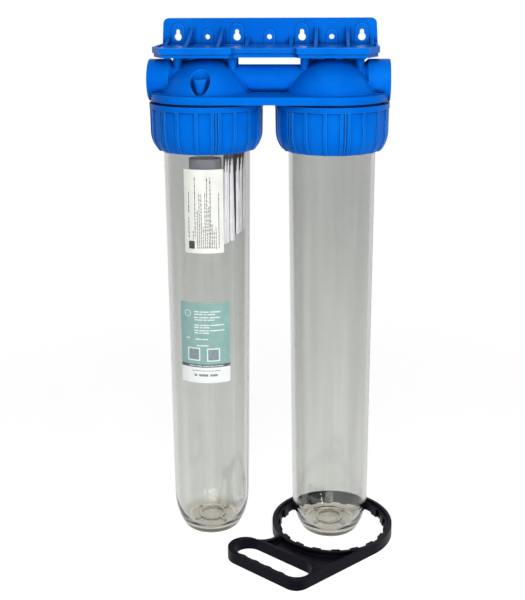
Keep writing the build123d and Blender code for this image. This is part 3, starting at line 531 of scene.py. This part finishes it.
# %% Shape the folds
# Each fold: left and right edge in degrees at the bottom, the same at the top, the height of its
# lower end and how far its legs reach inwards.
folds = (((30.8, 35.4), (31.2, 34.8), 345.5, 4.5), ((35.7, 40.5), (36.1, 39.4), 346.2, 8.0),
         ((40.8, 49.9), (41.3, 47.4), 347.4, 9.0), ((51.6, 60.4), (52.0, 57.6), 354.0, 9.0),
         ((60.7, 69.7), (60.2, 66.4), 355.0, 9.0), ((70.0, 74.5), (68.6, 71.6), 356.5, 8.0))
fold_top, pale_end_height, point_length, back_columns, fold_rows = 446.0, 441.0, 20.0, 8, 44
sway_degrees, sway_turn, back_bulge_mm, wall_clearance_mm, leg_spread_share = 0.7, 2.1, 0.9, 0.75, 0.2


def fold_ring(fold, up):
    """Places of one fold at a height share: left leg, round back, right leg, and the height in mm."""
    (low_left, low_right), (top_left, top_right), bottom, depth = fold
    height = bottom + (fold_top - bottom) * up
    swell = 1 - (3 * up ** 2 - 2 * up ** 3)
    sway = sway_degrees * math.sin(sway_turn * up + low_left)
    left = top_left + (low_left - top_left) * swell + sway
    right = top_right + (low_right - top_right) * swell + sway
    room = wall_radius(height) - bowl_wall_mm - wall_clearance_mm
    middle = (left + right) / 2
    polar = [(middle - (right - left) * leg_spread_share, room - depth)]
    for i in range(back_columns + 1):
        share = i / back_columns
        polar.append((left + (right - left) * share, room - back_bulge_mm * abs(2 * share - 1) ** 2))
    polar.append((middle + (right - left) * leg_spread_share, room - depth))
    return [Vector((bowl_axis.x + radius * math.sin(math.radians(angle)) * mm,
                    bowl_axis.y - radius * math.cos(math.radians(angle)) * mm,
                    (height - hole_height_mm) * mm)) for angle, radius in polar], height


pages = bmesh.new()
for fold in folds:
    rings = [fold_ring(fold, row / fold_rows) for row in range(fold_rows + 1)]
    grid = [[pages.verts.new(point) for point in ring] for ring, height in rings]
    for row in range(fold_rows):
        for i in range(back_columns + 2):
            face = pages.faces.new((grid[row][i], grid[row][i + 1], grid[row + 1][i + 1], grid[row + 1][i]))
            beside = abs(2 * (i - 0.5) / back_columns - 1)
            is_pale = beside < 1 and rings[row + 1][1] < pale_end_height - point_length * beside ** 2
            face.material_index = 0 if is_pale else 1
page_paper = cloudy_skin("folded_white_paper", "#E4E1EE", "#F6F5FA", roughness=0.62,
                         patch_mm=16, grain_mm=fibre_mm, depth_mm=tooth_mm, index=paper_index)
# The dark pages stand for both the print on the pages and painted shade in the gaps between the folds.
page_print_and_shade = cloudy_skin("dark_print_and_painted_shade_page", "#07050F", "#14101F", roughness=0.6,
                         patch_mm=9, grain_mm=fibre_mm, depth_mm=tooth_mm, index=paper_index)
folded_pages = finish_piece("folded_pages", pages, page_paper, "left_bowl_group")
folded_pages.data.materials.append(page_print_and_shade)
thickness = folded_pages.modifiers.new("paper_thickness", "SOLIDIFY")
thickness.thickness = 0.25 * mm
thickness.offset = 0
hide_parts("leaflet_pages")

# %% [markdown]
# ## Camera
# The photograph was taken with a long lens from a little above the head, from the right of the
# middle, and the frame was shifted down so that the upright lines stay nearly upright. The lens
# length follows from how much the wrench on the floor is seen from above while the head is seen from
# the front. The camera's three axes are worked out from its turn to the side, its tilt and a slight
# roll.

# %% Place the camera
camera_place = Vector((70.7, -1163.8, 54.8)) * mm
yaw, pitch, roll = -0.0685, 0.1775, -0.0053
forward = Vector((math.sin(yaw) * math.cos(pitch), math.cos(yaw) * math.cos(pitch), -math.sin(pitch)))
right = Vector((math.cos(yaw), -math.sin(yaw), 0))
up = right.cross(forward)
level_right = math.cos(roll) * right + math.sin(roll) * up
level_up = -math.sin(roll) * right + math.cos(roll) * up
lens = bpy.data.cameras.new("studio_camera")
lens.lens = 60.23
lens.sensor_width = 36
lens.shift_y = -0.2195
lens.clip_start = 0.01
lens.clip_end = 50
camera = bpy.data.objects.new("studio_camera", lens)
turn = Matrix((level_right, level_up, -forward)).transposed().to_4x4()
camera.matrix_world = Matrix.Translation(camera_place) @ turn
bpy.context.scene.collection.objects.link(camera)
bpy.context.scene.camera = camera
print("camera distance to origin:", round(camera_place.length, 3), "m")

# %% [markdown]
# ## Floor
# The studio floor is white paper that is lit until it blends with the background. What the camera
# sees is a soft glow plus the light that falls on it, so a shadow stays as a faint grey next to the
# object, and further out the glow alone is white. Light that bounces off it uses a plain pale
# surface instead, so that the glow never lights the object from below.

# %% Floor
floor_level = cad_box[0][2]
floor_mesh = bpy.data.meshes.new("studio_floor")
reach = 8.0
floor_mesh.from_pydata([(-reach, -reach, floor_level), (reach, -reach, floor_level),
                        (reach, reach, floor_level), (-reach, reach, floor_level)], [], [(0, 1, 2, 3)])
floor = bpy.data.objects.new("studio_floor", floor_mesh)
bpy.context.scene.collection.objects.link(floor)


def seen_directly(tree):
    """1 for rays from the camera, a reflection or a clear body, else 0."""
    path = add_node(tree, "ShaderNodeLightPath")
    first = add_node(tree, "ShaderNodeMath", {"operation": "MAXIMUM"},
                     links={0: path.outputs["Is Camera Ray"], 1: path.outputs["Is Glossy Ray"]})
    second = add_node(tree, "ShaderNodeMath", {"operation": "MAXIMUM"},
                      links={0: first.outputs[0], 1: path.outputs["Is Transmission Ray"]})
    return second.outputs[0]


floor_white = bpy.data.materials.new("studio_floor_white")
floor_white.use_nodes = True
tree = floor_white.node_tree
tree.nodes.clear()
near_light = add_node(tree, "ShaderNodeBsdfDiffuse", values={"Color": linear("#9C9C9C")})
near_glow = add_node(tree, "ShaderNodeEmission", values={"Color": linear("#FFFFFF"), "Strength": 0.84})
near = add_node(tree, "ShaderNodeAddShader", links={0: near_light.outputs[0], 1: near_glow.outputs[0]})
far = add_node(tree, "ShaderNodeEmission", values={"Color": linear("#FFFFFF"), "Strength": 1.0})
place = add_node(tree, "ShaderNodeTexCoord").outputs["Object"]
level_place = add_node(tree, "ShaderNodeVectorMath", {"operation": "MULTIPLY"}, {1: (1, 1, 0)}, {0: place})
distance = add_node(tree, "ShaderNodeVectorMath", {"operation": "LENGTH"},
                    links={0: level_place.outputs["Vector"]})
shadow_reach, white_from = 0.28, 0.7
fade = add_node(tree, "ShaderNodeMapRange", values={"From Min": shadow_reach, "From Max": white_from},
                links={"Value": distance.outputs["Value"]})
shown = add_node(tree, "ShaderNodeMixShader", links={0: fade.outputs["Result"], 1: near.outputs[0],
                                                     2: far.outputs[0]})
bounce = add_node(tree, "ShaderNodeBsdfDiffuse", values={"Color": linear("#D8D8D8")})
joined = add_node(tree, "ShaderNodeMixShader", links={0: seen_directly(tree), 1: bounce.outputs[0],
                                                      2: shown.outputs[0]})
add_node(tree, "ShaderNodeOutputMaterial", links={"Surface": joined.outputs[0]})
floor_mesh.materials.append(floor_white)
print("floor at", round(floor_level, 4), "m")

# %% [markdown]
# ## Background and lamps
# The world is white where it is seen, also through the bowls and in the gloss, and gives only part
# of that as light. Three soft lamps do the rest. A large one stands in front, above the head, so
# that its mirror image misses the upright bowls and the brightest faces are those turned forwards. A
# narrow strip from the front right marks the panels right of the middle of each ring nut, and a weak
# lamp above lights the shelf. Their strengths are set so that a colour renders about as it is
# written.

# %% World and lamps
world = bpy.data.worlds.new("studio_white")
bpy.context.scene.world = world
world.use_nodes = True
tree = world.node_tree
tree.nodes.clear()
fill = add_node(tree, "ShaderNodeBackground", values={"Color": linear("#FFFFFF"), "Strength": 0.12})
white = add_node(tree, "ShaderNodeBackground", values={"Color": linear("#FFFFFF"), "Strength": 1.0})
joined = add_node(tree, "ShaderNodeMixShader", links={0: seen_directly(tree), 1: fill.outputs[0],
                                                      2: white.outputs[0]})
add_node(tree, "ShaderNodeOutputWorld", links={"Surface": joined.outputs[0]})


def soft_lamp(name, place, aim, width, height, watts):
    """A rectangular soft lamp that faces a point."""
    lamp = bpy.data.lights.new(name, "AREA")
    lamp.shape = "RECTANGLE"
    lamp.size, lamp.size_y, lamp.energy = width, height, watts
    holder = bpy.data.objects.new(name, lamp)
    holder.location = place
    holder.rotation_euler = (Vector(aim) - Vector(place)).to_track_quat("-Z", "Y").to_euler()
    bpy.context.scene.collection.objects.link(holder)


soft_lamp("front_lamp", (0.1, -1.6, 0.36), aim=(0, 0, -0.2), width=1.0, height=1.2, watts=22)
soft_lamp("strip_lamp", (0.9, -1.35, 0.14), aim=(0, 0, -0.15), width=0.14, height=0.8, watts=6)
soft_lamp("top_lamp", (0, -0.6, 1.3), aim=(0, 0, 0), width=1.0, height=0.8, watts=4)
bpy.context.scene.view_settings.view_transform = "Standard"
print("lamps:", [item.name for item in bpy.data.lights])
